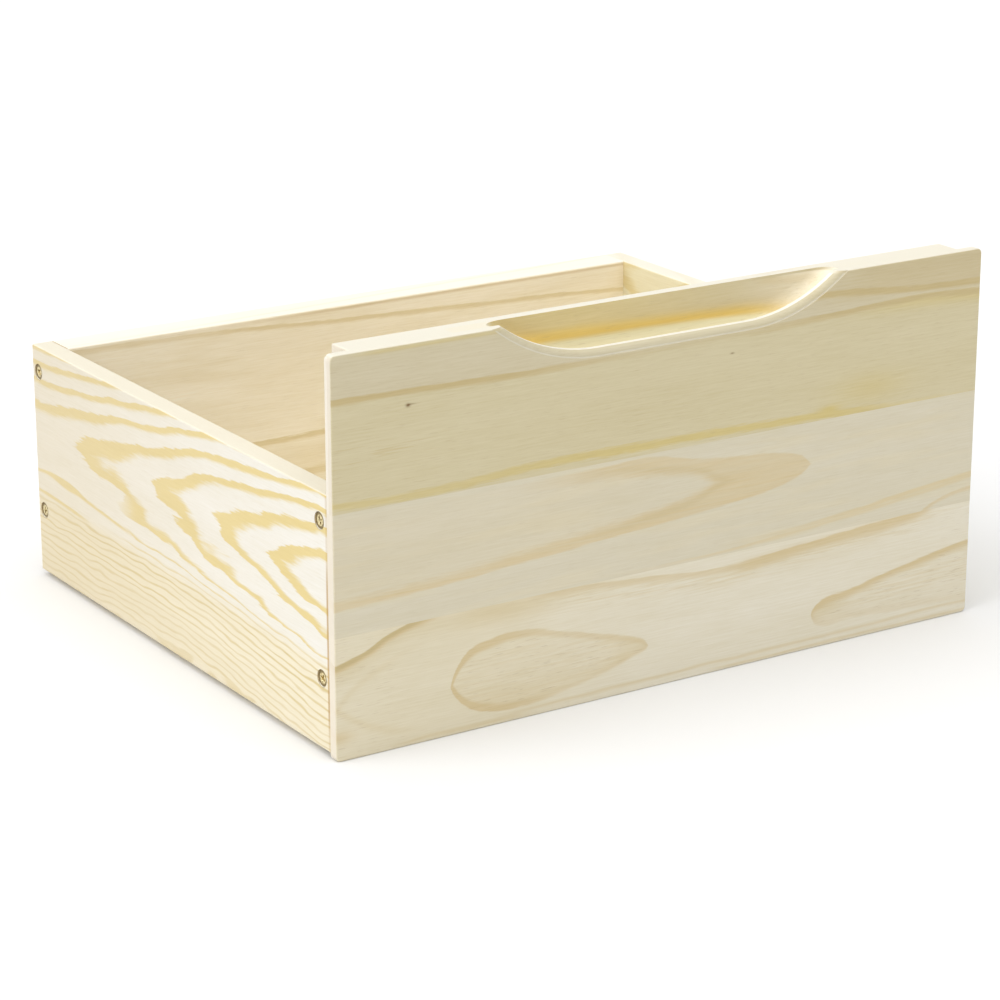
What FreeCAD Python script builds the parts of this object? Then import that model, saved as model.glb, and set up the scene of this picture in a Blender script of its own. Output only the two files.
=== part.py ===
import FreeCAD, Part
import math
import os

# Under-bed storage box in unfinished pine: a tall front board with a scooped finger pull,
# two thin sides, a thick back and a sheet base nailed on from below.
# Millimetres. X runs left to right, -Y is the front, +Z is up.
# The origin is on the ground, under the middle of the box.

# Overall sizes
FRONT_WIDTH = 390.0
FRONT_HEIGHT = 200.0
BOX_DEPTH = 325.0
SIDE_HEIGHT = 129.0

# Board and sheet thicknesses
FRONT_THICKNESS = 20.0
SIDE_THICKNESS = 12.0
BACK_THICKNESS = 20.0
BASE_THICKNESS = 3.0

# The front is glued up from three staves; heights are given from the top down
UPPER_STAVE_HEIGHT = 76.5
MIDDLE_STAVE_HEIGHT = 61.0

# The ends of the front are rebated, so a thin lip covers the front ends of the sides
LIP_THICKNESS = 5.5
LIP_CORNER_RADIUS = 3.0
SIDE_END_GAP = 0.25
SIDE_FACE_SETBACK = 0.3

# Eased edges
EASED_EDGE = 0.9
SEAM_EDGE = 0.5

# An edge this close to a plane, or to a direction, counts as lying on it
NEAR = 0.01

# Finger pull: a scoop out of the front's top edge, with a groove routed behind its crest
SCOOP_DEPTH = 18.4
SCOOP_HALF_FLAT = 44.8
SCOOP_ARC_RADIUS = 92.0
SCOOP_RAMP_ANGLE = 36.0
SCOOP_RAMP_LENGTH = 22.0
SCOOP_ROUND_RADIUS = 4.0
SCOOP_STEP = 0.4
GROOVE_START = 5.3
GROOVE_FRONT_RADIUS = 1.5
GROOVE_REAR_RADIUS = 6.4
GROOVE_DEPTH = 3.0
GROOVE_ARRIS = 0.5
CUTTER_REACH = 40.0
CUTTER_OVERRUN = 1.0

# Countersunk cross-head wood screws, two at each corner
SCREW_LENGTH = 38.0
SCREW_SHANK_RADIUS = 2.0
SCREW_HEAD_RADIUS = 4.0
SCREW_RIM_HEIGHT = 0.3
SCREW_SINK = 0.45
SCREW_POINT_LENGTH = 5.0
COUNTERSINK_RADIUS = 4.3
SCREW_BELOW_TOP = 14.2
SCREW_ABOVE_BOTTOM = 36.0
SCREW_FROM_SIDE_END = 7.0
SCREW_FIRST_TURN = 25.0
SCREW_TURN_PER_ROW = 40.0
SCREW_TURN_PER_COLUMN = 65.0
RECESS_SPAN = 4.4
RECESS_ARM = 1.0
RECESS_DEPTH = 2.2
RECESS_FLARE = 0.35

# Base panel and its nails
BASE_INSET = 5.5
NAIL_LENGTH = 16.0
NAIL_POINT_LENGTH = 1.5
NAIL_SHANK_RADIUS = 0.75
NAIL_HEAD_RADIUS = 1.6
NAIL_HEAD_HEIGHT = 0.6
NAILS_PER_SIDE = 5
NAILS_IN_BACK = 4
NAIL_END_MARGIN = 32.0

# Positions that follow from the sizes
FRONT_Y = -BOX_DEPTH / 2
REAR_Y = BOX_DEPTH / 2
CARCASS_BOTTOM = BASE_THICKNESS
CARCASS_TOP = CARCASS_BOTTOM + SIDE_HEIGHT
SIDE_OUTER_X = FRONT_WIDTH / 2 - SIDE_FACE_SETBACK
SIDE_INNER_X = SIDE_OUTER_X - SIDE_THICKNESS
LOWER_STAVE_TOP = FRONT_HEIGHT - UPPER_STAVE_HEIGHT - MIDDLE_STAVE_HEIGHT
MIDDLE_STAVE_TOP = FRONT_HEIGHT - UPPER_STAVE_HEIGHT
SIDE_FRONT_Y = FRONT_Y + LIP_THICKNESS + SIDE_END_GAP
SCREW_HEIGHTS = (CARCASS_BOTTOM + SCREW_ABOVE_BOTTOM, CARCASS_TOP - SCREW_BELOW_TOP)
SCREW_Y_POSITIONS = (SIDE_FRONT_Y + SCREW_FROM_SIDE_END, REAR_Y - SCREW_FROM_SIDE_END)
NAIL_LINE_X = (SIDE_INNER_X + FRONT_WIDTH / 2 - BASE_INSET) / 2
NAIL_LINE_Y = REAR_Y - BACK_THICKNESS / 2


def box(low, high):
    """A block between two opposite corners."""
    size = [b - a for a, b in zip(low, high)]
    return Part.makeBox(size[0], size[1], size[2], FreeCAD.Vector(*low))


def edges_along(shape, axis, test):
    """Straight edges that run along one axis and whose middle passes the test."""
    found = []
    for edge in shape.Edges:
        if edge.Degenerated or edge.Curve.TypeId != "Part::GeomLine":
            continue
        direction = edge.Curve.Direction
        if abs(getattr(direction, axis)) > 1 - NEAR and test(edge.CenterOfMass):
            found.append(edge)
    return found


def scoop_path():
    """The line of the scoop's crest on the front face, from the left ramp to the right one."""
    ramp = math.radians(SCOOP_RAMP_ANGLE)
    crest_z = FRONT_HEIGHT - SCOOP_DEPTH
    arc_end_x = SCOOP_HALF_FLAT + SCOOP_ARC_RADIUS * math.sin(ramp)
    arc_end_z = crest_z + SCOOP_ARC_RADIUS * (1 - math.cos(ramp))
    arc_middle_x = SCOOP_HALF_FLAT + SCOOP_ARC_RADIUS * math.sin(ramp / 2)
    arc_middle_z = crest_z + SCOOP_ARC_RADIUS * (1 - math.cos(ramp / 2))
    far_x = arc_end_x + SCOOP_RAMP_LENGTH * math.cos(ramp)
    far_z = arc_end_z + SCOOP_RAMP_LENGTH * math.sin(ramp)

    def at(x, z):
        return FreeCAD.Vector(x, FRONT_Y, z)

    return Part.Wire([
        Part.makeLine(at(-far_x, far_z), at(-arc_end_x, arc_end_z)),
        Part.Arc(at(-arc_end_x, arc_end_z), at(-arc_middle_x, arc_middle_z),
                 at(-SCOOP_HALF_FLAT, crest_z)).toShape(),
        Part.makeLine(at(-SCOOP_HALF_FLAT, crest_z), at(SCOOP_HALF_FLAT, crest_z)),
        Part.Arc(at(SCOOP_HALF_FLAT, crest_z), at(arc_middle_x, arc_middle_z),
                 at(arc_end_x, arc_end_z)).toShape(),
        Part.makeLine(at(arc_end_x, arc_end_z), at(far_x, far_z)),
    ])


def scoop_section(start):
    """The cutter's outline across the scoop, at the start of its path.

    It rounds the front arris with a small step below it and leaves a narrow crest. Behind the
    crest it drops into a groove whose floor sweeps up into an upright rear wall.
    """
    ramp = math.radians(SCOOP_RAMP_ANGLE)
    into_wood = FreeCAD.Vector(-math.sin(ramp), 0, -math.cos(ramp))

    def at(back, deep):
        return start + FreeCAD.Vector(0, back, 0) + into_wood * deep

    diagonal = math.sqrt(0.5)
    short = 1 - diagonal
    crest_front = SCOOP_STEP + SCOOP_ROUND_RADIUS
    crest_back = GROOVE_START - GROOVE_ARRIS
    floor_back = GROOVE_START + GROOVE_FRONT_RADIUS
    groove_end = floor_back + GROOVE_REAR_RADIUS
    springing = GROOVE_DEPTH - GROOVE_REAR_RADIUS

    round_middle = at(crest_front - SCOOP_ROUND_RADIUS * diagonal, SCOOP_ROUND_RADIUS * short)
    arris_middle = at(crest_back + GROOVE_ARRIS * diagonal, GROOVE_ARRIS * short)
    front_sweep = at(GROOVE_START + GROOVE_FRONT_RADIUS * short,
                     GROOVE_DEPTH - GROOVE_FRONT_RADIUS * short)
    rear_sweep = at(floor_back + GROOVE_REAR_RADIUS * diagonal,
                    GROOVE_DEPTH - GROOVE_REAR_RADIUS * short)
    wall_foot = at(GROOVE_START, GROOVE_DEPTH - GROOVE_FRONT_RADIUS)
    bottom = at(floor_back, GROOVE_DEPTH)
    return Part.Wire([
        Part.makeLine(at(-CUTTER_OVERRUN, -CUTTER_REACH), at(-CUTTER_OVERRUN, SCOOP_ROUND_RADIUS)),
        Part.makeLine(at(-CUTTER_OVERRUN, SCOOP_ROUND_RADIUS), at(SCOOP_STEP, SCOOP_ROUND_RADIUS)),
        Part.Arc(at(SCOOP_STEP, SCOOP_ROUND_RADIUS), round_middle, at(crest_front, 0)).toShape(),
        Part.makeLine(at(crest_front, 0), at(crest_back, 0)),
        Part.Arc(at(crest_back, 0), arris_middle, at(GROOVE_START, GROOVE_ARRIS)).toShape(),
        Part.makeLine(at(GROOVE_START, GROOVE_ARRIS), wall_foot),
        Part.Arc(wall_foot, front_sweep, bottom).toShape(),
        Part.Arc(bottom, rear_sweep, at(groove_end, springing)).toShape(),
        Part.makeLine(at(groove_end, springing), at(groove_end, -CUTTER_REACH)),
        Part.makeLine(at(groove_end, -CUTTER_REACH), at(-CUTTER_OVERRUN, -CUTTER_REACH)),
    ])


def scoop_cutter():
    """The solid that the finger pull takes out of the front."""
    path = scoop_path()
    start = path.OrderedVertexes[0].Point
    return path.makePipeShell([scoop_section(start)], True, False)


def front_blank():
    """The glued-up front before it is split into staves: lip, tongue, eased edges, finger pull."""
    half = FRONT_WIDTH / 2
    lip_back = FRONT_Y + LIP_THICKNESS
    lip = box((-half, FRONT_Y, 0), (half, lip_back, FRONT_HEIGHT))
    lip = lip.makeFillet(LIP_CORNER_RADIUS, edges_along(lip, "y", lambda p: True))
    outline = [e for e in lip.Edges if abs(e.CenterOfMass.y - FRONT_Y) < NEAR]
    lip = lip.makeFillet(EASED_EDGE, outline)
    ends = edges_along(lip, "z", lambda p: abs(p.y - lip_back) < NEAR)
    lip = lip.makeFillet(SEAM_EDGE, ends)
    tongue = box((-SIDE_INNER_X, FRONT_Y + LIP_THICKNESS / 2, 0),
                 (SIDE_INNER_X, FRONT_Y + FRONT_THICKNESS, FRONT_HEIGHT))
    rear = FRONT_Y + FRONT_THICKNESS
    eased = edges_along(tongue, "x", lambda p: p.z > FRONT_HEIGHT - NEAR and p.y > rear - NEAR)
    eased += edges_along(tongue, "y", lambda p: p.z > FRONT_HEIGHT - NEAR)
    eased += edges_along(tongue, "z", lambda p: p.y > rear - NEAR)
    tongue = tongue.makeFillet(EASED_EDGE, eased)
    return lip.fuse(tongue).removeSplitter().cut(scoop_cutter())


def front_stave(blank, low_z, high_z):
    """One stave of the front, between two glue lines."""
    reach = FRONT_WIDTH
    return blank.common(box((-reach, -reach, low_z), (reach, reach, high_z)))


def side_board():
    """The right side board, with its open edges eased."""
    board = box((SIDE_INNER_X, SIDE_FRONT_Y, CARCASS_BOTTOM), (SIDE_OUTER_X, REAR_Y, CARCASS_TOP))

    def is_outer(p):
        return p.x > SIDE_OUTER_X - NEAR

    def is_top(p):
        return p.z > CARCASS_TOP - NEAR

    eased = edges_along(board, "y", lambda p: is_outer(p) or is_top(p))
    eased += edges_along(board, "z", lambda p: is_outer(p) and p.y > REAR_Y - NEAR)
    eased += edges_along(board, "x", lambda p: is_top(p) and p.y > REAR_Y - NEAR)
    board = board.makeFillet(EASED_EDGE, eased)
    seam = edges_along(board, "z", lambda p: is_outer(p) and p.y < SIDE_FRONT_Y + NEAR)
    return board.makeFillet(SEAM_EDGE, seam)


def back_board():
    """The back, standing between the sides with its top flush with theirs."""
    board = box((-SIDE_INNER_X, REAR_Y - BACK_THICKNESS, CARCASS_BOTTOM),
                (SIDE_INNER_X, REAR_Y, CARCASS_TOP))
    top = edges_along(board, "x", lambda p: p.z > CARCASS_TOP - NEAR)
    return board.makeFillet(EASED_EDGE, top)


def base_panel():
    """The base sheet, set in from the outer faces and butted against the front."""
    half = FRONT_WIDTH / 2 - BASE_INSET
    return box((-half, FRONT_Y + FRONT_THICKNESS, 0), (half, REAR_Y - BASE_INSET, BASE_THICKNESS))


def cross_recess():
    """The cross-shaped driver recess, tapering to its floor. It opens at z = 0 and goes down."""
    arm = box((-RECESS_SPAN / 2, -RECESS_ARM / 2, -RECESS_DEPTH),
              (RECESS_SPAN / 2, RECESS_ARM / 2, CUTTER_OVERRUN))
    turned = arm.rotated(FreeCAD.Vector(0, 0, 0), FreeCAD.Vector(0, 0, 1), 90)
    taper = Part.makeCone(RECESS_ARM / 2, RECESS_SPAN / 2 + RECESS_FLARE,
                          RECESS_DEPTH + CUTTER_OVERRUN, FreeCAD.Vector(0, 0, -RECESS_DEPTH))
    return arm.fuse(turned).common(taper)


def screw():
    """A countersunk wood screw on the Z axis, its head's top at z = 0 and its point below."""
    head_height = SCREW_RIM_HEIGHT + SCREW_HEAD_RADIUS - SCREW_SHANK_RADIUS
    shank_end = SCREW_LENGTH - SCREW_POINT_LENGTH
    outline = [
        (0, 0), (SCREW_HEAD_RADIUS, 0), (SCREW_HEAD_RADIUS, -SCREW_RIM_HEIGHT),
        (SCREW_SHANK_RADIUS, -head_height), (SCREW_SHANK_RADIUS, -shank_end),
        (0, -SCREW_LENGTH), (0, 0),
    ]
    face = Part.Face(Part.makePolygon([FreeCAD.Vector(r, 0, z) for r, z in outline]))
    body = face.revolve(FreeCAD.Vector(0, 0, 0), FreeCAD.Vector(0, 0, 1), 360)
    return body.cut(cross_recess())


def screw_hole():
    """The countersunk hole that a screw fills, on the Z axis with the board's face at z = 0."""
    head_height = SCREW_RIM_HEIGHT + SCREW_HEAD_RADIUS - SCREW_SHANK_RADIUS
    cone_top = -SCREW_SINK - SCREW_RIM_HEIGHT
    cone_bottom = -SCREW_SINK - head_height
    point_start = -SCREW_SINK - SCREW_LENGTH + SCREW_POINT_LENGTH
    outline = [
        (0, CUTTER_OVERRUN), (COUNTERSINK_RADIUS, CUTTER_OVERRUN), (COUNTERSINK_RADIUS, 0),
        (SCREW_HEAD_RADIUS, cone_top), (SCREW_SHANK_RADIUS, cone_bottom),
        (SCREW_SHANK_RADIUS, point_start), (0, -SCREW_SINK - SCREW_LENGTH), (0, CUTTER_OVERRUN),
    ]
    face = Part.Face(Part.makePolygon([FreeCAD.Vector(r, 0, z) for r, z in outline]))
    return face.revolve(FreeCAD.Vector(0, 0, 0), FreeCAD.Vector(0, 0, 1), 360)


def at_side_face(shape, y, z, turn):
    """A shape made on the Z axis, laid into the right side's outer face and turned about itself."""
    laid = shape.rotated(FreeCAD.Vector(0, 0, 0), FreeCAD.Vector(0, 0, 1), turn)
    laid = laid.rotated(FreeCAD.Vector(0, 0, 0), FreeCAD.Vector(0, 1, 0), 90)
    laid.translate(FreeCAD.Vector(SIDE_OUTER_X, y, z))
    return laid


def side_fasteners(shape, sink=0.0):
    """One copy of a shape at each of the right side's four screw positions."""
    placed = []
    for row, z in enumerate(SCREW_HEIGHTS):
        for column, y in enumerate(SCREW_Y_POSITIONS):
            copy = shape.copy()
            copy.translate(FreeCAD.Vector(0, 0, -sink))
            turn = SCREW_FIRST_TURN + SCREW_TURN_PER_ROW * row + SCREW_TURN_PER_COLUMN * column
            placed.append(at_side_face(copy, y, z, turn))
    return placed


def nail():
    """A flat-headed nail on the Z axis, its head's underside at z = 0 and its point up."""
    shank_end = NAIL_LENGTH - NAIL_POINT_LENGTH
    head = Part.makeCylinder(NAIL_HEAD_RADIUS, NAIL_HEAD_HEIGHT)
    shank = Part.makeCylinder(NAIL_SHANK_RADIUS, shank_end)
    point = Part.makeCone(NAIL_SHANK_RADIUS, 0, NAIL_POINT_LENGTH,
                          FreeCAD.Vector(0, 0, shank_end))
    return head.fuse([shank, point]).removeSplitter()


def nail_positions():
    """Where the base is nailed up into the sides and the back."""
    first = FRONT_Y + FRONT_THICKNESS + NAIL_END_MARGIN
    last = REAR_Y - BACK_THICKNESS - NAIL_END_MARGIN
    places = []
    for i in range(NAILS_PER_SIDE):
        y = first + (last - first) * i / (NAILS_PER_SIDE - 1)
        places += [(-NAIL_LINE_X, y), (NAIL_LINE_X, y)]
    reach = SIDE_INNER_X - NAIL_END_MARGIN
    for i in range(NAILS_IN_BACK):
        places.append((reach * (2 * i / (NAILS_IN_BACK - 1) - 1), NAIL_LINE_Y))
    return places


def all_nails():
    """Every nail in its place, each head driven flush with the base's underside."""
    nails = []
    for x, y in nail_positions():
        copy = nail()
        copy.translate(FreeCAD.Vector(x, y, 0))
        nails.append(copy)
    return nails


def save(name, shape):
    """Writes one node and says what it holds."""
    shape.exportStep("parts/%s.step" % name)
    print("%-20s solids %2d  valid %s  volume %.1f cm3" % (
        name, len(shape.Solids), shape.isValid(), shape.Volume / 1000))


def main():
    os.makedirs("parts", exist_ok=True)
    mirror_point = FreeCAD.Vector(0, 0, 0)
    across = FreeCAD.Vector(1, 0, 0)

    right_holes = side_fasteners(screw_hole())
    left_holes = [hole.mirror(mirror_point, across) for hole in right_holes]
    right_screws = side_fasteners(screw(), SCREW_SINK)
    left_screws = [one.mirror(mirror_point, across) for one in right_screws]
    nails = all_nails()
    holes = right_holes + left_holes

    right_side = side_board().cut(right_holes).cut(nails)
    left_side = side_board().mirror(mirror_point, across).cut(left_holes).cut(nails)
    front = front_blank().cut(holes)

    save("front_upper_stave", front_stave(front, MIDDLE_STAVE_TOP, FRONT_HEIGHT))
    save("front_middle_stave", front_stave(front, LOWER_STAVE_TOP, MIDDLE_STAVE_TOP))
    save("front_lower_stave", front_stave(front, 0, LOWER_STAVE_TOP))
    save("left_side", left_side)
    save("right_side", right_side)
    save("back_board", back_board().cut(holes).cut(nails))
    save("base_panel", base_panel().cut(nails))
    save("left_side_screws", Part.makeCompound(left_screws))
    save("right_side_screws", Part.makeCompound(right_screws))
    save("base_nails", Part.makeCompound(nails))


main()
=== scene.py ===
import math

import bpy
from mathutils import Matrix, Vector


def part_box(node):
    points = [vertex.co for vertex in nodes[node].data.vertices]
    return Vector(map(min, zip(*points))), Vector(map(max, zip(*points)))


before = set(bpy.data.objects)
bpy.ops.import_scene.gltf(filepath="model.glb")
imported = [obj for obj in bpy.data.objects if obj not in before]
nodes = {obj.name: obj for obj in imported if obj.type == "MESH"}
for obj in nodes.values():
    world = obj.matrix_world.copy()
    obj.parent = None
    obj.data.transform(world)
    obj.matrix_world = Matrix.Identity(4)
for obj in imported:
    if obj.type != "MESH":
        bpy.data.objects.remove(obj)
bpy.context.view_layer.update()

# Looks of an under-bed box in unfinished pine. Object and camera sizes are in metres.
# The grain is drawn in millimetres on each board: "along" runs with the fibres, "down" is
# measured from the board's upper edge and "deep" from the face that shows most.

MM = 1000.0

# Figure lines are drawn in a square this many millimetres wide, longer than any board
CURVE_SPAN = 400.0

# Millimetres on the front's upper stave: the scoop, and the groove routed behind its crest
CREST_FRONT = 3.1
CREST_REAR = 5.3
GROOVE_FRONT = 5.2
GROOVE_REAR = 13.4
GROOVE_ENDS = (70.0, 320.0)
STEP_ENDS = (88.0, 302.0)

# Millimetres on the sides
SCREW_HEAD_RADIUS = 4.0
SCREW_RIM_START = 2.3
SCREW_RIM_END = 3.2
SEAM_START = 1.1
SEAM_END = 1.9

# The upward part of a face's normal at which it starts to count as facing up, and fully does
UPWARD_FROM = 0.35
UPWARD_FULLY = 0.95

# Growth rings per millimetre beside the axis of an arrowhead, and how they crowd further out
RING_DENSITY = 0.03
RING_CROWDING = 0.0011

# How strongly the fibres shade red, green and blue
FIBRE_TINT = (0.7, 0.9, 1.6)

# Bump: its strength, and its height in metres
WOOD_BUMP = (0.4, 0.00012)
METAL_BUMP = (0.3, 0.00005)

# Metal clouds and scratches, per metre
CLOUD_SCALE = 900.0
SCRATCH_SCALE = 3500.0

# Camera, in metres and radians
FOCAL_LENGTH_MM = 116.14
SENSOR_WIDTH_MM = 36.0
CAMERA_PLACE = (-0.8998, -1.3950, 0.5910)
CAMERA_TILT_DOWN = 0.3135
CAMERA_TURN_RIGHT = 0.5742
CLIP_DISTANCE = 50.0

# Studio, in metres and in light strengths
FLOOR_HALF_WIDTH = 8.0
FLOOR_GREY = (0.80, 0.80, 0.80, 1.0)
LAMP_SPREAD_DEGREES = 60.0
LEFT_LAMP_STRENGTH = 1.65
FRONT_LAMP_STRENGTH = 0.45
LEAST_GLOW = 0.1
OVERHEAD_GLOW = 2.17
LOW_GLOW = 0.28
HORIZON_GLOW = 0.72

# Wood colours, as linear reflectance
CREAM = (0.67, 0.613, 0.467)
PALE_CREAM = (0.75, 0.695, 0.555)
WARM_CREAM = (0.72, 0.64, 0.445)
GREY_BEIGE = (0.614, 0.543, 0.373)
KHAKI = (0.626, 0.552, 0.353)
BROWN_STREAK = (0.55, 0.44, 0.225)
GOLD_STREAK = (0.62, 0.505, 0.215)
TAN = (0.65, 0.53, 0.31)
LIGHT_TAN = (0.67, 0.565, 0.35)
SIDE_CREAM = (0.71, 0.682, 0.615)
# Painted shade that darkens the side towards its rear end
SIDE_PAINTED_SHADE = (0.545, 0.455, 0.29)
SIDE_WARM = (0.715, 0.65, 0.495)
SIDE_GOLD = (0.645, 0.52, 0.235)
SIDE_LINE = (0.58, 0.47, 0.235)
INNER_TAN = (0.965, 0.868, 0.682)
INNER_GOLD = (0.80, 0.665, 0.40)
INNER_BROWN = (0.72, 0.57, 0.34)
INNER_CREAM = (0.72, 0.655, 0.45)
# Painted light: pales the groove's right end and the back board's inner face towards its left end
PALE_PAINTED_LIGHT = (0.985, 0.908, 0.74)
# Groove colours: amber and honey are partly the wood's own, partly painted warm bounce light
AMBER = (0.78, 0.555, 0.15)
HONEY = (0.66, 0.53, 0.25)
# Painted light on the groove's floor
GROOVE_PAINTED_LIGHT = (0.78, 0.71, 0.46)
KNOT_BROWN = (0.20, 0.12, 0.05)
# Grime and painted shadow round the screws
GRIME_AND_SHADE = (0.15, 0.10, 0.03)
# The joint line at the side's front end: partly a dark joint, partly painted shadow in its gap
SEAM_BROWN = (0.42, 0.25, 0.08)
# Painted highlight, laid on faces that look upward and on the scoop's crest and step
PAINTED_HIGHLIGHT = (0.80, 0.78, 0.70)
END_GRAIN = (0.58, 0.45, 0.25)
PALE_END = (0.68, 0.62, 0.53)
# Painted shade for the scoop's round-over
ROUND_OVER_SHADE = (0.58, 0.52, 0.36)
PORE_BROWN = (0.45, 0.34, 0.20)

# Metal colours
YELLOW_ZINC = (0.83, 0.71, 0.40)
DULL_ZINC = (0.40, 0.31, 0.15)
BRIGHT_STEEL = (0.60, 0.60, 0.60)
DULL_STEEL = (0.42, 0.42, 0.42)


class Term:
    """A number that changes over a surface, with ordinary arithmetic between such numbers."""

    def __init__(self, tree, socket):
        self.tree = tree
        self.socket = socket

    def combine(self, operation, *others):
        node = self.tree.nodes.new("ShaderNodeMath")
        node.operation = operation
        for slot, value in zip(node.inputs, (self,) + others):
            connect(self.tree, slot, value)
        return Term(self.tree, node.outputs[0])

    def __add__(self, other):
        return self.combine("ADD", other)

    def __sub__(self, other):
        return self.combine("SUBTRACT", other)

    def __mul__(self, other):
        return self.combine("MULTIPLY", other)

    def __truediv__(self, other):
        return self.combine("DIVIDE", other)

    def __pow__(self, other):
        return self.combine("POWER", other)

    def __neg__(self):
        return self.combine("MULTIPLY", -1.0)

    def __radd__(self, other):
        return self + other

    def __rmul__(self, other):
        return self * other

    def __rsub__(self, other):
        return -self + other

    def __abs__(self):
        return self.combine("ABSOLUTE")


def connect(tree, slot, value):
    """Links a term to a socket, or sets the socket to a plain number."""
    if isinstance(value, Term):
        tree.links.new(value.socket, slot)
    else:
        slot.default_value = value


def smooth(value, low, high):
    """0 below low, 1 above high, and an eased rise between them. It falls if low is above high."""
    node = value.tree.nodes.new("ShaderNodeMapRange")
    node.interpolation_type = "SMOOTHSTEP"
    connect(value.tree, node.inputs["Value"], value)
    node.inputs["From Min"].default_value = low
    node.inputs["From Max"].default_value = high
    return Term(value.tree, node.outputs["Result"])


def bell(value, middle, width):
    """A soft bump that is 1 at the middle."""
    offset = (value - middle) / width
    return (-(offset * offset)).combine("EXPONENT")


def band(offset, rise, width, fall):
    """1 across a band that starts at offset 0, with its own softness on each side."""
    return smooth(offset, 0.0, rise) * smooth(offset, width + fall, width)


def between(value, start, end, fade):
    """1 from start to end, fading outside."""
    return smooth(value, start - fade, start) * smooth(value, end + fade, end)


def curve(value, *points):
    """A smooth line through a few (along, height) points, in millimetres."""
    node = value.tree.nodes.new("ShaderNodeFloatCurve")
    mapping = node.mapping
    mapping.extend = "HORIZONTAL"
    line = mapping.curves[0]
    while len(line.points) < len(points):
        line.points.new(0.5, 0.5)
    for handle, (across, height) in zip(line.points, points):
        handle.location = (across / CURVE_SPAN, height / CURVE_SPAN)
        handle.handle_type = "AUTO"
    mapping.update()
    connect(value.tree, node.inputs["Value"], value / CURVE_SPAN)
    return Term(value.tree, node.outputs["Value"]) * CURVE_SPAN


def noise(board, along_size, cross_size, detail=2.0, seed=0.0):
    """Noise from 0 to 1 whose grains have a length along the fibres and a width across them."""
    tree = board.tree
    point = tree.nodes.new("ShaderNodeCombineXYZ")
    connect(tree, point.inputs[0], board.along / along_size + (seed + board.seed))
    connect(tree, point.inputs[1], board.down / cross_size)
    connect(tree, point.inputs[2], board.deep / cross_size)
    node = tree.nodes.new("ShaderNodeTexNoise")
    node.noise_dimensions = "3D"
    node.inputs["Scale"].default_value = 1.0
    node.inputs["Detail"].default_value = detail
    tree.links.new(point.outputs[0], node.inputs["Vector"])
    return Term(tree, node.outputs[0])


def mixed(tree, under, over, amount, blend="MIX"):
    """One colour laid over another."""
    node = tree.nodes.new("ShaderNodeMix")
    node.data_type = "RGBA"
    node.blend_type = blend
    connect(tree, node.inputs["Factor"], amount)
    for slot, value in ((node.inputs[6], under), (node.inputs[7], over)):
        if isinstance(value, tuple):
            slot.default_value = value + (1.0,)
        else:
            tree.links.new(value, slot)
    return node.outputs[2]


class Board:
    """One board's material, with its grain coordinates in millimetres."""

    def __init__(self, node_name, fibre_axis, corner, directions, seed):
        self.name = node_name
        self.seed = seed
        self.material = bpy.data.materials.new(node_name + "_pine")
        self.material.use_nodes = True
        self.tree = self.material.node_tree
        self.tree.nodes.clear()
        place = self.tree.nodes.new("ShaderNodeTexCoord")
        split = self.tree.nodes.new("ShaderNodeSeparateXYZ")
        self.tree.links.new(place.outputs["Object"], split.inputs[0])
        geometry = self.tree.nodes.new("ShaderNodeNewGeometry")
        facing = self.tree.nodes.new("ShaderNodeSeparateXYZ")
        self.tree.links.new(geometry.outputs["Normal"], facing.inputs[0])
        self.facing_fibres = abs(Term(self.tree, facing.outputs["XYZ".index(fibre_axis)]))
        self.facing_up = Term(self.tree, facing.outputs["Z"])
        parts = []
        for axis, start, direction in zip("XYZ", corner, directions):
            coordinate = Term(self.tree, split.outputs["XYZ".index(axis)])
            parts.append((coordinate - start) * (MM * direction))
        x, y, z = parts
        self.down = z
        if fibre_axis == "X":
            self.along, self.deep = x, y
        else:
            self.along, self.deep = y, x


def ring_pattern(rings, start, soft, edge, narrower=0.0):
    """Dark latewood at the end of each growth ring: it builds up softly and ends sharply."""
    phase = rings.combine("FRACT")
    return smooth(phase - narrower, start, start + soft) * smooth(phase, 1.0, 1.0 - edge)


def upward(board):
    """1 on faces that look up."""
    return smooth(board.facing_up, UPWARD_FROM, UPWARD_FULLY)


def painted_top_highlight(board):
    """Painted highlight: how far faces that look upward are paled, standing in for the light that falls
    on them.
    """
    return upward(board) * 0.7


def feather(board, size=1.0):
    """Fibre-length raggedness, from about -1 to 1, that frays the edge of a figure."""
    return (noise(board, 9.0 * size, 0.8 * size, seed=31.0) - 0.5) * 3.0


def inside_outline(down, top, bottom):
    """Below 0 between two lines and above 0 outside them, in millimetres."""
    return (top - down).combine("MAXIMUM", down - bottom)


def dress(piece, material):
    """Gives a piece one material in all of its slots."""
    if not piece.data.materials:
        piece.data.materials.append(material)
    for i in range(len(piece.data.materials)):
        piece.data.materials[i] = material


def surface(tree, colour, roughness, height, bump_size):
    """Adds the shader and its bump, and returns the shader."""
    strength, distance = bump_size
    bump = tree.nodes.new("ShaderNodeBump")
    bump.inputs["Strength"].default_value = strength
    bump.inputs["Distance"].default_value = distance
    connect(tree, bump.inputs["Height"], height)
    shader = tree.nodes.new("ShaderNodeBsdfPrincipled")
    tree.links.new(colour, shader.inputs["Base Color"])
    connect(tree, shader.inputs["Roughness"], roughness)
    tree.links.new(bump.outputs[0], shader.inputs["Normal"])
    output = tree.nodes.new("ShaderNodeOutputMaterial")
    tree.links.new(shader.outputs[0], output.inputs["Surface"])
    return shader


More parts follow.
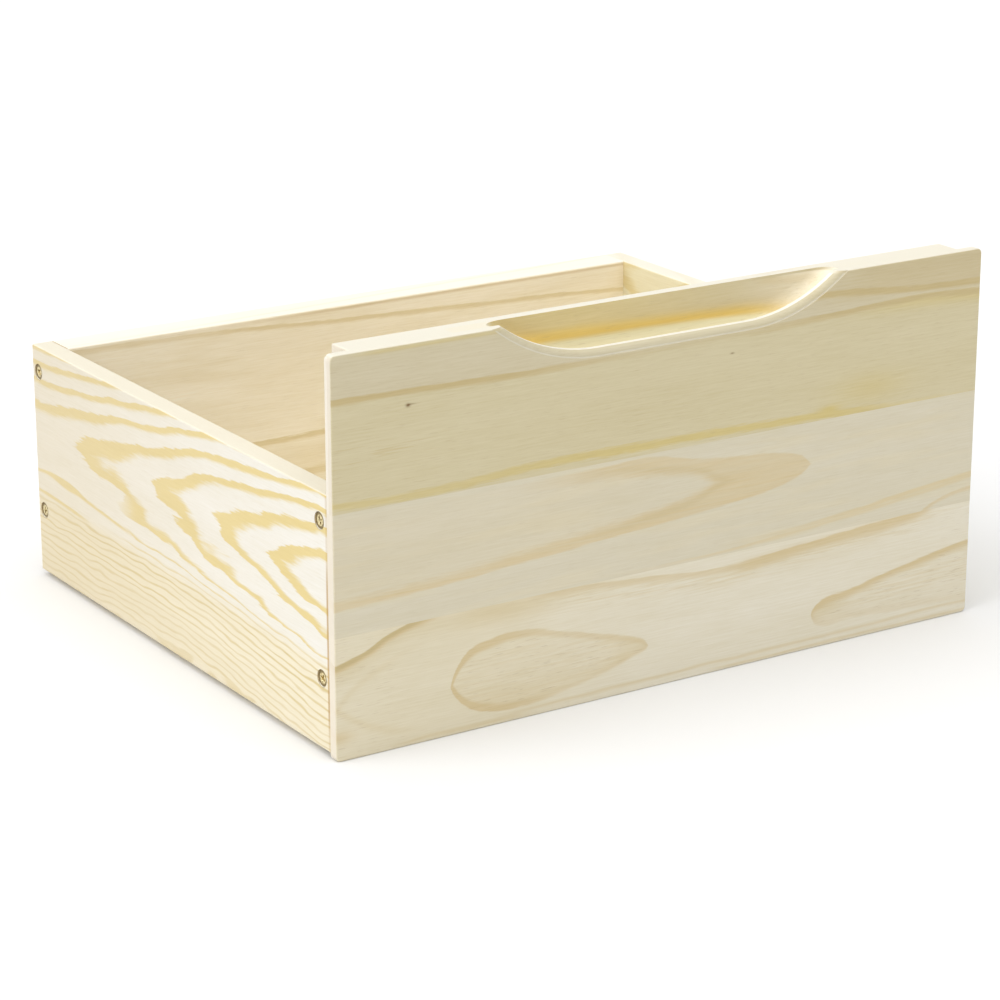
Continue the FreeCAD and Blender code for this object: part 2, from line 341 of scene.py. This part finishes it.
def finish_board(board, base, layers, highlight_amount, fibre, dashes, end_colour):
    """Lays the figure over the base colour, adds fibres, pores and end grain, and shades it.

    Each layer is a mask and the colour that it lays. fibre is how strongly single fibres show,
    and dashes how strongly the short dark pores do.
    """
    tree = board.tree
    broad = noise(board, 160.0, 16.0, seed=3.0) - 0.5
    fine = noise(board, 24.0, 0.9, detail=3.0, seed=7.0) - 0.5
    finest = noise(board, 8.0, 0.3, seed=11.0) - 0.5
    pores = smooth(noise(board, 9.0, 0.55, detail=1.0, seed=19.0), 0.62, 0.74)

    colour = base
    for mask, over in layers:
        colour = mixed(tree, colour, over, mask)
    shade = broad * 0.12 + fine * (0.22 * fibre) + finest * (0.12 * fibre)
    tint = tree.nodes.new("ShaderNodeCombineXYZ")
    for slot, reach in zip(tint.inputs, FIBRE_TINT):
        connect(tree, slot, 1.0 + shade * reach)
    colour = mixed(tree, colour, tint.outputs[0], 1.0, "MULTIPLY")
    colour = mixed(tree, colour, PORE_BROWN, pores * dashes * 0.4)

    # Painted highlight: upward faces, and the scoop's crest and step, are paled
    colour = mixed(tree, colour, PAINTED_HIGHLIGHT, highlight_amount)
    end = smooth(board.facing_fibres, 0.55, 0.9)
    speckle = noise(board, 1.0, 0.5, seed=23.0)
    colour = mixed(tree, colour, end_colour, end * (speckle * 0.6 + 0.5))

    height = fine * 0.5 + finest * 0.35 - pores * 0.4 + end * speckle * 0.6
    roughness = 0.58 + fine * 0.2 + end * 0.15
    shader = surface(tree, colour, roughness, height, WOOD_BUMP)
    shader.inputs["Specular IOR Level"].default_value = 0.3
    dress(nodes[board.name], board.material)


front_low, front_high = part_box("front_upper_stave")
front_left = front_low.x
front_face = front_low.y
front_top = front_high.z
side_low, side_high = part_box("left_side")
back_low, back_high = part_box("back_board")


def front_board(node_name, seed):
    """A stave of the front, measured from the whole front's top left corner."""
    return Board(node_name, "X", (front_left, front_face, front_top), (1, 1, -1), seed)


def upper_stave():
    """Khaki field under a brown streak, with a golden band above the lower glue line."""
    board = front_board("front_upper_stave", 1.3)
    along = board.along
    wander = (noise(board, 60.0, 9.0, detail=1.0) - 0.5) * 2.4
    down = board.down + board.deep * 0.55 + wander
    frayed = feather(board)

    streak = curve(along, (0, 20.6), (57, 20.8), (105, 22.2), (150, 21.8), (212, 21.8),
                   (300, 20.0), (340, 18.8), (390, 20.0))
    streak_strength = (0.35 + 0.65 * smooth(along, 190.0, 80.0)
                       + 0.6 * smooth(along, 225.0, 310.0))
    branch = curve(along, (262, 7.4), (275, 8.4), (300, 9.4), (325, 11.4), (350, 13.2), (390, 14.6))
    golden = curve(along, (0, 69.2), (57, 71.0), (100, 68.6), (175, 68.8), (275, 70.6),
                   (320, 72.6), (390, 75.0))
    golden_strength = (0.95 - 0.3 * smooth(along, 170.0, 40.0)
                       - 0.6 * smooth(along, 290.0, 350.0))
    # Painted shade: a soft golden line just under the front's eased top edge, towards its left end
    top_edge_shade = bell(board.down, 1.5, 1.1) * smooth(along, 120.0, 80.0) * smooth(along, 2.0, 30.0)
    right_tint = smooth(along, 255.0, 330.0) * smooth(down - streak, 0.0, -6.0)
    smudge = bell(along, 292.0, 7.5) * bell(board.down, 71.6, 2.2)
    halo = bell(along, 318.0, 24.0) * bell(board.down, 64.0, 8.0)
    left_dashes = between(along, -20.0, 52.0, 30.0) * bell(board.down, 51.0, 6.5)
    dashes = smooth(noise(board, 26.0, 0.9, detail=1.0, seed=41.0), 0.56, 0.68) * left_dashes

    knot_left = bell(along, 41.6, 1.2) * bell(board.down, 29.6, 0.85)
    knot_tail = bell(along, 43.6, 2.0) * bell(board.down, 29.3, 0.35)
    knot_right = bell(along, 229.6, 1.2) * bell(board.down, 32.6, 0.45)
    knots = (knot_left + knot_tail * 0.5 + knot_right * 0.7) * smooth(board.deep, 3.0, 1.0)

    in_groove = (between(board.deep, GROOVE_FRONT, GROOVE_REAR, 0.1)
                 * between(along, *GROOVE_ENDS, 1.0))
    uneven = (noise(board, 50.0, 6.0, detail=1.0, seed=47.0) - 0.5) * 2.0
    # Partly a latewood band, partly painted warm bounce light: an amber line along the groove's wall
    amber_line = bell(board.down - along * 0.029 + uneven, 9.4, 3.9)
    # Painted light: the groove is paled towards its bottom, where it turns upward to the light
    painted_floor_light = smooth(board.down - along * 0.022 + uneven, 10.8, 14.0)
    in_scoop = smooth(board.down, 0.8, 1.6)
    # Painted highlight lines on the scoop's crest and on the step under its round-over
    crest = between(board.deep, CREST_FRONT, CREST_REAR, 0.4) * in_scoop
    # Painted shade: the scoop's round-over, which turns upward, is darkened
    round_over = between(board.deep, 0.5, 2.9, 0.4) * in_scoop
    step = between(board.deep, 0.15, 0.44, 0.06) * in_scoop * between(along, *STEP_ENDS, 2.0)
    highlight_amount = painted_top_highlight(board) * (1.0 - in_scoop) + crest + step * 0.45
    finish_board(board, GREY_BEIGE, [
        (smooth(down - streak, 0.0, 4.0), KHAKI),
        (right_tint * 0.5, BROWN_STREAK),
        (bell(down - streak, 4.0, 3.5) * smooth(along, 290.0, 350.0) * 0.6, GOLD_STREAK),
        (band(down - streak + frayed * 0.5, 1.2, 2.4, 2.6) * streak_strength, BROWN_STREAK),
        (band(down - branch + frayed * 0.5, 1.2, 2.8, 2.4) * smooth(along, 250.0, 264.0),
         BROWN_STREAK),
        (dashes * 0.5, BROWN_STREAK),
        (top_edge_shade * 0.6, GOLD_STREAK),
        (band(down - golden + frayed, 2.2, 3.8, 2.2) * golden_strength, GOLD_STREAK),
        (smudge + halo * 0.5, GOLD_STREAK),
        (round_over * 0.8, ROUND_OVER_SHADE),
        # Partly the cut wood's colour, partly painted warm bounce light: a honey tint through the groove
        (in_groove * (0.95 - 0.75 * smooth(along, 130.0, 290.0)), HONEY),
        # Painted light: the groove's right end, which faces the left lamp, is paled
        (in_groove * in_scoop * smooth(along, 235.0, 308.0) * 0.75, PALE_PAINTED_LIGHT),
        (amber_line * in_groove * (0.95 - 0.85 * smooth(along, 235.0, 290.0)), AMBER),
        (painted_floor_light * in_groove, GROOVE_PAINTED_LIGHT),
        (knots, KNOT_BROWN),
    ], highlight_amount, fibre=1.0, dashes=0.6, end_colour=PALE_END)


def middle_stave():
    """Pale board with one long tongue-shaped figure that opens to the left."""
    board = front_board("front_middle_stave", 5.7)
    along = board.along
    wander = (noise(board, 40.0, 8.0) - 0.5) * 2.2
    down = board.down + board.deep * 0.5 + wander
    frayed = feather(board)

    outer_top = curve(along, (0, 80), (90, 79.4), (150, 79.2), (188, 79.0), (197, 81.4), (208, 83.8),
                      (225, 86.2), (258, 89.4), (271, 91.8), (278, 95.2), (281, 98.5), (390, 130))
    outer_bottom = curve(along, (0, 123.8), (62, 121.6), (105, 118.9), (150, 116.2), (200, 112.8),
                         (225, 111.4), (258, 107.8), (270, 104.8), (278, 101.4), (281, 98.5), (390, 60))
    inner_top = curve(along, (0, 81), (90, 81.8), (120, 82.8), (160, 84.6), (190, 88), (212, 92.6),
                      (223, 98), (390, 150))
    inner_bottom = curve(along, (0, 121.2), (62, 118.4), (105, 115.0), (150, 110.8), (190, 106.2),
                         (212, 102.4), (223, 98), (390, 50))
    outer = inside_outline(down, outer_top, outer_bottom)
    inner = inside_outline(down, inner_top, inner_bottom)
    tongue = smooth(outer + frayed * 0.5, 0.9, -0.4) * smooth(inner + frayed * 1.6, -4.0, 1.2)
    grain = smooth(noise(board, 60.0, 2.0, seed=53.0), 0.3, 0.7)
    strength = (0.85 - 0.1 * smooth(down, 104.0, 92.0)) * (0.75 + 0.35 * grain)
    upper_fade = 1.0 - smooth(down, 104.0, 92.0) * smooth(along, 160.0, 90.0) * 0.85

    upper_line = curve(along, (150, 132.0), (215, 132.2), (300, 128.4), (345, 124.0), (390, 120.5))
    lower_line = curve(along, (150, 135.5), (230, 134.6), (300, 131.0), (345, 127.2), (390, 122.8))
    hook = curve(along, (0, 170), (340, 144), (356, 137.0), (366, 132.6), (378, 129.8), (390, 128.6))
    finish_board(board, CREAM, [
        (smooth(noise(board, 70.0, 7.0, seed=13.0), 0.45, 0.7) * 0.35, WARM_CREAM),
        (smooth(inner, 1.0, -5.0) * smooth(along, 260.0, 120.0) * 0.18, LIGHT_TAN),
        (tongue * strength * upper_fade, TAN),
        (bell(inner + frayed * 0.6, 2.0, 2.0) * smooth(along, 120.0, 200.0) * 0.3, BROWN_STREAK),
        (band(down - upper_line + frayed * 0.4, 1.2, 2.0, 2.6) * smooth(along, 205.0, 330.0), LIGHT_TAN),
        (band(down - lower_line, 0.8, 1.0, 1.8) * smooth(along, 150.0, 240.0) * 0.8, LIGHT_TAN),
        (band(down - hook + frayed * 0.5, 0.8, 1.4, 2.0) * smooth(along, 346.0, 356.0) * 0.7, TAN),
    ], painted_top_highlight(board), fibre=0.8, dashes=0.3, end_colour=PALE_END)


def lower_stave():
    """Pale board with an egg-shaped figure, an arch above it and a lobe at the right."""
    board = front_board("front_lower_stave", 9.1)
    along = board.along
    wander = (noise(board, 35.0, 8.0) - 0.5) * 2.2
    down = board.down + board.deep * 0.45 + wander
    frayed = feather(board)
    streaky = smooth(noise(board, 30.0, 1.3, seed=17.0), 0.4, 0.65)

    diagonal = curve(along, (0, 150.8), (15, 146.6), (32, 139.6), (45, 136.2), (390, 120))
    diagonal_haze = smooth(down - diagonal, 0.0, 1.0) * smooth(down - diagonal, 14.0, 2.0)
    haze = bell(along, 92.0, 30.0) * bell(down, 141.0, 6.5)
    loop = curve(along, (0, 173), (8, 165), (20, 158), (48, 148), (390, 140))
    low_loop = curve(along, (0, 173), (8, 179), (20, 186), (48, 193), (390, 200))

    arch = curve(along, (0, 128), (110, 135.0), (150, 137.6), (190, 141.0), (225, 143.6),
                 (275, 140.8), (315, 138.6), (345, 137.0), (358, 134.6), (374, 129.0), (390, 125))
    arch_strength = 0.65 + 0.35 * smooth(along, 220.0, 270.0)
    under_arch = bell(down - arch, 6.5, 4.5) * between(along, 120.0, 380.0, 20.0)

    egg_top = curve(along, (0, 240), (62, 181), (66, 169), (74, 159), (90, 154.6), (107, 154), (125, 158),
                    (150, 164.8), (170, 170.0), (179, 174.0), (183, 180), (390, 240))
    egg_bottom = curve(along, (0, 120), (62, 171), (66, 179), (74, 187.5), (88, 192.6), (107, 193.4),
                       (125, 191.8), (155, 186.0), (172, 181.5), (180, 178.6), (184, 172), (390, 120))
    egg = inside_outline(down, egg_top, egg_bottom)
    egg_left = smooth(along, 130.0, 82.0)
    egg_rim = 1.6 + 1.2 * egg_left
    egg_line = smooth(-egg + frayed * 0.6, -0.8, 0.4) * smooth(egg + egg_rim, -2.6, 0.0)
    egg_tip = smooth(along, 140.0, 172.0)
    egg_open = smooth(along, 105.0, 135.0) * smooth(down, 174.0, 184.0)
    egg_fill = 0.1 + 0.3 * streaky + 0.35 * smooth(down, 176.0, 190.0) + 0.35 * egg_tip

    lobe_top = curve(along, (0, 240), (278, 220), (284, 181.0), (287, 176.6), (310, 172.0), (350, 164.6),
                     (390, 159.0))
    lobe_bottom = curve(along, (0, 140), (278, 140), (284, 181.0), (287, 186.8), (310, 188.0),
                        (350, 190.0), (390, 192.0))
    lobe = inside_outline(down, lobe_top, lobe_bottom)
    lobe_fade = 0.25 + 0.75 * smooth(down, 188.0, 176.0)
    lobe_end = smooth(along, 312.0, 290.0)
    lobe_line = smooth(-lobe + frayed * 0.6, -0.8, 0.4) * smooth(lobe, -6.0, -1.0)

    low_streak = (between(along, 120.0, 400.0, 40.0) * bell(down + along * 0.008, 196.6, 0.9)
                  + between(along, 240.0, 400.0, 30.0) * bell(down, 198.2, 0.9)
                  + between(along, 46.0, 96.0, 20.0) * bell(down, 197.6, 1.0))
    corner = bell(along, 1.0, 9.0) * bell(down, 188.0, 3.4)
    dashes = (0.15 + 0.9 * smooth(egg, 2.0, -4.0) + 0.7 * smooth(lobe, 2.0, -4.0)
              + 0.6 * smooth(along, 60.0, 20.0) + 0.6 * smooth(along, 355.0, 385.0) + 0.4 * under_arch)
    finish_board(board, PALE_CREAM, [
        (smooth(along, 215.0, 40.0) * 0.6, WARM_CREAM),
        (haze * 0.75, LIGHT_TAN),
        (diagonal_haze * smooth(along, 70.0, 40.0) * 0.5, LIGHT_TAN),
        (band(down - diagonal + frayed * 0.4, 1.0, 3.0, 2.4) * smooth(along, 64.0, 48.0), TAN),
        (band(down - diagonal, 1.0, 2.0, 1.8) * smooth(along, 56.0, 44.0) * 0.85, BROWN_STREAK),
        (bell(down - loop, 1.5, 2.2) * smooth(along, 60.0, 20.0) * 0.35, LIGHT_TAN),
        (bell(down - low_loop, 0.0, 2.2) * smooth(along, 60.0, 20.0) * 0.45, LIGHT_TAN),
        (band(down - arch + frayed * 0.5, 0.8, 2.0, 3.2) * between(along, 125.0, 374.0, 24.0)
         * arch_strength, TAN),
        (bell(down - arch, 3.4, 2.9) * between(along, 245.0, 350.0, 20.0) * 0.85, TAN),
        (under_arch * streaky * 0.6, LIGHT_TAN),
        (smooth(egg, 0.4, -1.5) * egg_fill, LIGHT_TAN),
        (egg_line * (0.55 + 0.45 * egg_left) * (1.0 - 0.75 * egg_open), TAN),
        (smooth(lobe, 0.6, -1.5) * (0.1 + 0.4 * streaky + 0.6 * lobe_end) * lobe_fade, LIGHT_TAN),
        (lobe_line * lobe_fade, TAN),
        (corner * 0.8, TAN),
        (low_streak * 0.7, LIGHT_TAN),
    ], painted_top_highlight(board), fibre=0.9, dashes=dashes, end_colour=PALE_END)


def rings_beside(across):
    """Growth rings between an arrowhead's axis and a line beside it."""
    return abs(across) * RING_DENSITY + across * across * RING_CROWDING


def side_figure(across, along_axis, lower_profile, lift):
    """Counts growth rings that open out from an axis along the board, with close lines below it.

    along_axis is the count on the axis itself, lower_profile what is added below it, and lift
    what is added to a hump in the middle of the lower half.
    """
    above = smooth(across, 1.0, -1.0)
    hump = smooth(across, 5.0, 25.0) * smooth(across, 75.0, 45.0)
    rings_below = lower_profile + lift * hump
    return along_axis + rings_beside(across) * above + rings_below * (1.0 - above)


def from_screw(along, down):
    """Distance from the middle of the nearest of a side's four screw heads."""
    low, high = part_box("left_side_screws")
    half_along = (high.y - low.y) / 2 * MM - SCREW_HEAD_RADIUS
    half_down = (high.z - low.z) / 2 * MM - SCREW_HEAD_RADIUS
    middle_along = (side_high.y - (high.y + low.y) / 2) * MM
    middle_down = (side_high.z - (high.z + low.z) / 2) * MM
    across = abs(along - middle_along) - half_along
    upright = abs(down - middle_down) - half_down
    return (across * across + upright * upright) ** 0.5


def screw_shadows(board):
    """Grime and painted shadow on the walls of the countersinks."""
    radius = from_screw(board.along, board.down)
    return between(radius, SCREW_HEAD_RADIUS - 0.5, SCREW_HEAD_RADIUS + 0.35, 0.2) * 0.9


def left_side():
    """Bold nested arrowheads of latewood that open to the front, with close lines below."""
    board = Board("left_side", "Y", (side_low.x, side_high.y, side_high.z), (1, -1, -1), 2.9)
    along = board.along
    axis = curve(along, (0, 46), (46, 46), (138, 41.5), (209, 40.5), (262, 44), (319, 46))
    across = board.down - axis + board.deep * 0.7
    along_axis = curve(along, (0, 84), (46, 77.6), (138, 60), (209, 37.5), (262, 20), (313, 1)) / 20.0
    profile = curve(across, (0, 0), (15, 5.5), (25, 9), (30, 13), (35, 18), (41, 29), (45, 39),
                    (52, 58), (60, 79), (84, 142)) / 10.0
    lift = curve(along, (0, 2.3), (46, 5.5), (100, 2.4), (160, 2.6), (200, 4), (250, 8), (300, 12.5),
                 (319, 14)) / 10.0
    rings = side_figure(across, along_axis, profile, lift - 0.4)

    below = smooth(across, 0.0, 12.0)
    close = smooth(board.down, 80.0, 90.0)
    wander = (noise(board, 60.0, 14.0, detail=1.0) - 0.5) * 0.5
    kinks = noise(board, 26.0, 9.0, detail=1.0, seed=5.0) - 0.5
    kinks = kinks * (0.25 + 0.45 * below + 0.7 * close)
    rings = rings + wander + kinks
    narrower = smooth(across, 16.0, 36.0) * 0.2
    frayed = feather(board, 1.4)
    bold = ring_pattern(rings + frayed * 0.08, 0.48, 0.24, 0.07, narrower)
    low_rear = smooth(along, 122.0, 92.0) * between(board.down, 58.0, 83.0, 3.0)
    swell = board.down - curve(along, (0, 69.6), (25, 67.6), (45, 68.6), (62, 71.6), (90, 74.0),
                               (130, 77.0))
    swell_width = 1.6 + 3.2 * bell(along, 36.0, 17.0)
    swell_band = smooth(swell + frayed * 0.5, 0.0, 1.2) * smooth(swell - swell_width, 1.6, 0.0)
    thin = board.down - curve(along, (0, 81.0), (40, 82.0), (62, 83.6), (130, 87.0))
    thin_band = band(thin + frayed * 0.4, 0.8, 1.6, 1.6) * smooth(along, 72.0, 44.0)
    line = ring_pattern(rings + frayed * 0.05, 0.55, 0.2, 0.16)
    unlike = smooth(noise(board, 220.0, 3.2, detail=1.0, seed=59.0), 0.35, 0.65)
    line = line * (0.6 + 0.4 * unlike) * (1.0 - 0.3 * smooth(board.down, 100.0, 129.0))
    length = (side_high.y - side_low.y) * MM
    # Brown line at the side's front end, by the front's lip: partly a dark joint, partly painted shadow
    # in the gap
    seam = (smooth(along, length - SEAM_END, length - SEAM_START)
            * (0.35 + 0.65 * between(board.down, 48.0, 105.0, 20.0)))
    finish_board(board, SIDE_CREAM, [
        (close, SIDE_WARM),
        (bold * (1.0 - close) * (1.0 - low_rear), SIDE_GOLD),
        (swell_band * smooth(along, 122.0, 96.0), SIDE_GOLD),
        (thin_band, SIDE_GOLD),
        (line * close, SIDE_LINE),
        # Painted shade: the side darkens towards its rear end
        (smooth(along, 340.0, -30.0) * 0.5, SIDE_PAINTED_SHADE),
        (screw_shadows(board), GRIME_AND_SHADE),
        (seam * 0.75, SEAM_BROWN),
        # Painted shade: the side's upward faces are toned warmer and darker, then half the painted top
        # highlight goes over them
        (upward(board), SIDE_WARM),
    ], painted_top_highlight(board) * 0.5, fibre=0.7, dashes=0.3, end_colour=END_GRAIN)


def right_side():
    """A shallow arrowhead near the top of the rear end, over close straight lines."""
    low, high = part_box("right_side")
    board = Board("right_side", "Y", (low.x, high.y, high.z), (1, -1, -1), 6.4)
    across = board.down - 8.0 + board.deep * 0.8
    wander = (noise(board, 60.0, 14.0, detail=1.0) - 0.5) * 0.7
    rings = 6.0 - board.along / 66.0 + rings_beside(across) + wander + feather(board) * 0.05
    late = ring_pattern(rings, 0.62, 0.22, 0.08)
    finish_board(board, INNER_CREAM, [
        (late * 0.7, SIDE_GOLD),
        (screw_shadows(board) * smooth(board.deep, 6.0, 7.0), GRIME_AND_SHADE),
    ], painted_top_highlight(board), fibre=0.8, dashes=0.4, end_colour=END_GRAIN)


def back_board():
    """Warm board with a few long streaks along its inner face."""
    board = Board("back_board", "X", (back_low.x, back_low.y, back_high.z), (1, 1, -1), 3.7)
    along = board.along
    frayed = feather(board)
    wander = (noise(board, 70.0, 12.0) - 0.5) * 2.6
    down = board.down + board.deep * 0.9 + wander
    upper = curve(along, (0, 1), (80, 2.4), (130, 4.6), (200, 8.0), (260, 10.0), (300, 11.6), (365, 15.6))
    middle = curve(along, (0, 70), (117, 71), (159, 70), (260, 64), (365, 60))
    lower = curve(along, (0, 88), (130, 91), (250, 88), (365, 84))
    lowest = curve(along, (0, 118), (150, 121), (365, 112))
    finish_board(board, INNER_TAN, [
        # Painted light: the inner face is paled towards its left end, where the left side shades it
        (smooth(along, 150.0, 20.0) * 0.8, PALE_PAINTED_LIGHT),
        (smooth(noise(board, 80.0, 9.0, seed=13.0), 0.45, 0.7) * 0.25, INNER_GOLD),
        (smooth(down - middle, 0.0, 14.0) * 0.3, INNER_GOLD),
        (band(board.down - 0.6, 0.8, 1.0, 1.6) * smooth(along, 100.0, 180.0) * 0.7, INNER_BROWN),
        (band(down - upper + frayed * 0.6, 1.2, 2.0, 2.2) * (0.5 + 0.4 * smooth(along, 60.0, 120.0)),
         INNER_GOLD),
        (band(down - middle + frayed, 1.4, 2.4, 2.8), INNER_GOLD),
        (band(down - lower + frayed, 2.0, 4.0, 3.0) * 0.9, INNER_GOLD),
        (band(down - lowest + frayed, 1.4, 2.4, 3.0) * 0.9, INNER_BROWN),
    ], painted_top_highlight(board), fibre=1.0, dashes=0.3, end_colour=END_GRAIN)


def base_panel():
    """Thin plywood: a plain rotary-cut face, with its plies showing at the edges."""
    low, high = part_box("base_panel")
    board = Board("base_panel", "X", (low.x, low.y, high.z), (1, 1, -1), 8.2)
    wide = noise(board, 120.0, 26.0, seed=2.0)
    rings = (board.deep + (wide - 0.5) * 90.0) / 22.0
    late = ring_pattern(rings, 0.5, 0.3, 0.1)
    plies = smooth(board.facing_fibres, 0.5, 0.9) * band(board.down, 0.1, 0.8, 0.1)
    finish_board(board, INNER_TAN, [
        (late * 0.3, INNER_GOLD),
        (plies * 0.6, INNER_BROWN),
    ], painted_top_highlight(board), fibre=0.8, dashes=0.6, end_colour=END_GRAIN)


def screw_rim_shade(tree, place):
    """Painted shadow round the rims of the screw heads, laid in the grime colour."""
    split = tree.nodes.new("ShaderNodeSeparateXYZ")
    tree.links.new(place, split.inputs[0])
    along = (side_high.y - Term(tree, split.outputs["Y"])) * MM
    down = (side_high.z - Term(tree, split.outputs["Z"])) * MM
    return smooth(from_screw(along, down), SCREW_RIM_START, SCREW_RIM_END) * 0.85


def metal(piece_name, colour, dull, has_shaded_rims):
    """Steel with a slightly cloudy, scratched surface."""
    material = bpy.data.materials.new(piece_name + "_metal")
    material.use_nodes = True
    tree = material.node_tree
    tree.nodes.clear()
    place = tree.nodes.new("ShaderNodeTexCoord")
    cloud = tree.nodes.new("ShaderNodeTexNoise")
    cloud.inputs["Scale"].default_value = CLOUD_SCALE
    cloud.inputs["Detail"].default_value = 3.0
    scratch = tree.nodes.new("ShaderNodeTexNoise")
    scratch.inputs["Scale"].default_value = SCRATCH_SCALE
    for node in (cloud, scratch):
        tree.links.new(place.outputs["Object"], node.inputs["Vector"])
    clouds = Term(tree, cloud.outputs[0])
    scratches = Term(tree, scratch.outputs[0])

    shade = mixed(tree, colour, dull, smooth(clouds, 0.4, 0.7))
    if has_shaded_rims:
        # Painted shadow round the rims of the screw heads
        shade = mixed(tree, shade, GRIME_AND_SHADE, screw_rim_shade(tree, place.outputs["Object"]))
    roughness = 0.28 + (scratches - 0.5) * 0.3
    shader = surface(tree, shade, roughness, scratches, METAL_BUMP)
    shader.inputs["Metallic"].default_value = 1.0
    dress(nodes[piece_name], material)


def soft_lamp(lamp_name, direction, strength):
    """A very wide, even lamp that shines in one direction."""
    data = bpy.data.lights.new(lamp_name, "SUN")
    data.angle = math.radians(LAMP_SPREAD_DEGREES)
    data.energy = strength
    lamp = bpy.data.objects.new(lamp_name, data)
    lamp.rotation_euler = Vector(direction).to_track_quat("-Z", "Y").to_euler()
    bpy.context.collection.objects.link(lamp)


def light():
    """Light from all round that is strongest overhead and at the horizon, and two soft lamps."""
    world = bpy.data.worlds.new("studio")
    bpy.context.scene.world = world
    world.use_nodes = True
    tree = world.node_tree
    tree.nodes.clear()
    place = tree.nodes.new("ShaderNodeTexCoord")
    split = tree.nodes.new("ShaderNodeSeparateXYZ")
    tree.links.new(place.outputs["Generated"], split.inputs[0])
    rise = Term(tree, split.outputs[2]).combine("MAXIMUM", 0.0)
    glow = (LEAST_GLOW + rise * rise * OVERHEAD_GLOW + LOW_GLOW * smooth(rise, 0.4, 0.12)
            + HORIZON_GLOW * smooth(rise, 0.14, 0.09))
    background = tree.nodes.new("ShaderNodeBackground")
    connect(tree, background.inputs["Strength"], glow)
    output = tree.nodes.new("ShaderNodeOutputWorld")
    tree.links.new(background.outputs[0], output.inputs["Surface"])

    soft_lamp("left_softbox", (0.86, -0.10, -0.50), LEFT_LAMP_STRENGTH)
    soft_lamp("front_softbox", (0.10, 0.50, -0.87), FRONT_LAMP_STRENGTH)


def pale_floor():
    """A wide matt floor, level with the box's underside."""
    half = FLOOR_HALF_WIDTH
    mesh = bpy.data.meshes.new("floor")
    mesh.from_pydata([(-half, -half, 0), (half, -half, 0), (half, half, 0), (-half, half, 0)], [],
                     [(0, 1, 2, 3)])
    floor = bpy.data.objects.new("floor", mesh)
    bpy.context.collection.objects.link(floor)
    material = bpy.data.materials.new("floor")
    material.use_nodes = True
    shader = material.node_tree.nodes["Principled BSDF"]
    shader.inputs["Base Color"].default_value = FLOOR_GREY
    shader.inputs["Roughness"].default_value = 0.9
    shader.inputs["Specular IOR Level"].default_value = 0.0
    mesh.materials.append(material)


def camera():
    """A long lens at a three-quarter angle, a little above the box."""
    data = bpy.data.cameras.new("camera")
    data.lens = FOCAL_LENGTH_MM
    data.sensor_width = SENSOR_WIDTH_MM
    data.clip_end = CLIP_DISTANCE
    eye = bpy.data.objects.new("camera", data)
    eye.location = CAMERA_PLACE
    eye.rotation_euler = (math.pi / 2 - CAMERA_TILT_DOWN, 0.0, -CAMERA_TURN_RIGHT)
    bpy.context.collection.objects.link(eye)
    bpy.context.scene.camera = eye
    bpy.context.scene.view_settings.view_transform = "Standard"


upper_stave()
middle_stave()
lower_stave()
left_side()
right_side()
back_board()
base_panel()
metal("left_side_screws", YELLOW_ZINC, DULL_ZINC, has_shaded_rims=True)
metal("right_side_screws", YELLOW_ZINC, DULL_ZINC, has_shaded_rims=True)
metal("base_nails", BRIGHT_STEEL, DULL_STEEL, has_shaded_rims=False)
light()
pale_floor()
camera()
